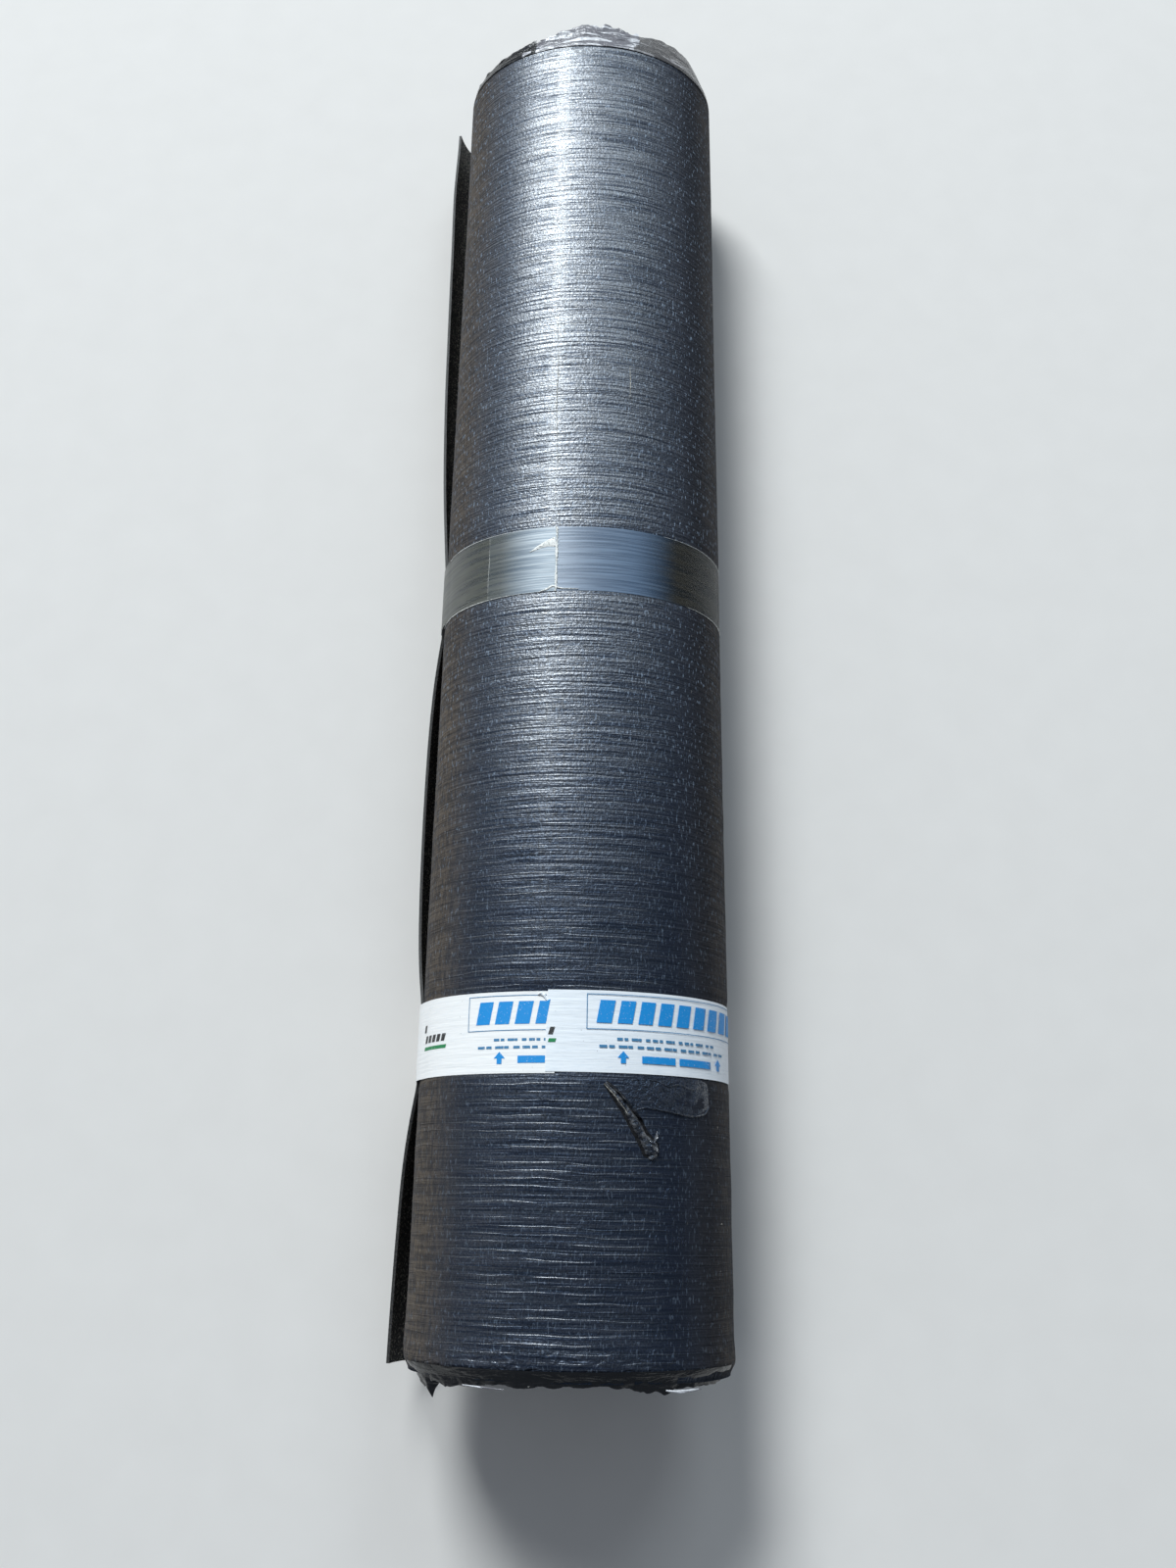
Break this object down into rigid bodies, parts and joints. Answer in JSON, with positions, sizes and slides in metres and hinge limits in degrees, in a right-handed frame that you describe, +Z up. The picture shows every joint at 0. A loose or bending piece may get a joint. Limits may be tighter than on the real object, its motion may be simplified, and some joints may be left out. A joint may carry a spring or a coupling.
{
  "type": "roll of roofing felt",
  "caption": "Oval roll of mineral-faced bitumen sheet lying on its flatter side, with a curled loose end, a paper label band and a clear tape band.",
  "frame": {"origin": "on the floor, below the middle of the outline seen from above", "axes": "+Y along the roll from the label's end to the other end, +X away from the loose end, +Z up"},
  "size_m": [0.2206, 1, 0.1503],
  "materials": {
    "felt": "bitumen with a thin film and fine ribs, satin",
    "label_paper": "matt white paper",
    "clear_tape": "clear glossy packing tape"
  },
  "bodies": {
    "root": {"felt_roll": "felt", "paper_label_band": "label_paper", "clear_tape_band": "clear_tape"}
  },
  "joints": []
}
